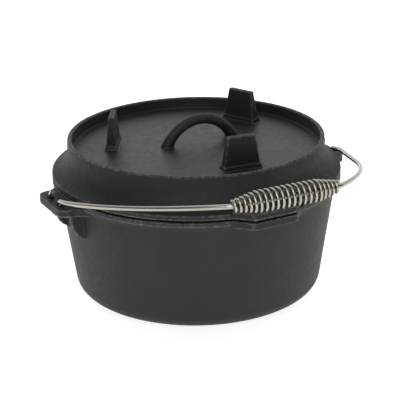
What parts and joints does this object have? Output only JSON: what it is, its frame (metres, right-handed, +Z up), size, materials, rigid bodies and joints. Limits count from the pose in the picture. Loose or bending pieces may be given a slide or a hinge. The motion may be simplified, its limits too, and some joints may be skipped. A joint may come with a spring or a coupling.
{
  "type": "dutch oven",
  "caption": "Flat-bottomed cast iron camp oven: flanged lid with short legs and a loop handle, and a swinging wire bail with a coil grip.",
  "frame": {"origin": "centre of the flat base, on the surface the pot stands on", "axes": "+Z up; X through the two ears, which is the bail's pivot line; -Y is the front, where the tabs are and over which the bail lies at rest"},
  "size_m": [0.334, 0.3513, 0.186],
  "materials": {
    "pot_iron": "pre-seasoned, matte with a fine cast grain",
    "lid_iron": "pre-seasoned, matte with a fine cast grain",
    "bail_steel": "bright drawn stainless wire",
    "coil_steel": "polished stainless spring wire"
  },
  "bodies": {
    "pot": {"pot": "pot_iron"},
    "lid": {"lid": "lid_iron"},
    "bail": {"bail_wire": "bail_steel"},
    "grip": {"coil_grip": "coil_steel"}
  },
  "joints": [
    {"name": "lid_lift", "type": "slide", "parent": "pot", "child": "lid", "axis": [0, 0, 1], "range_m": [0, 0.2]},
    {"name": "bail_swing", "type": "hinge", "parent": "pot", "child": "bail", "pos_m": [0, 0, 0.1168], "axis": [-1, 0, 0], "range_deg": [0, 120]},
    {"name": "grip_spin", "type": "hinge", "parent": "bail", "child": "grip", "pos_m": [-0.0059, -0.18788, 0.15576], "axis": [0.9962, -0.0856, 0.0162], "continuous": true}
  ]
}
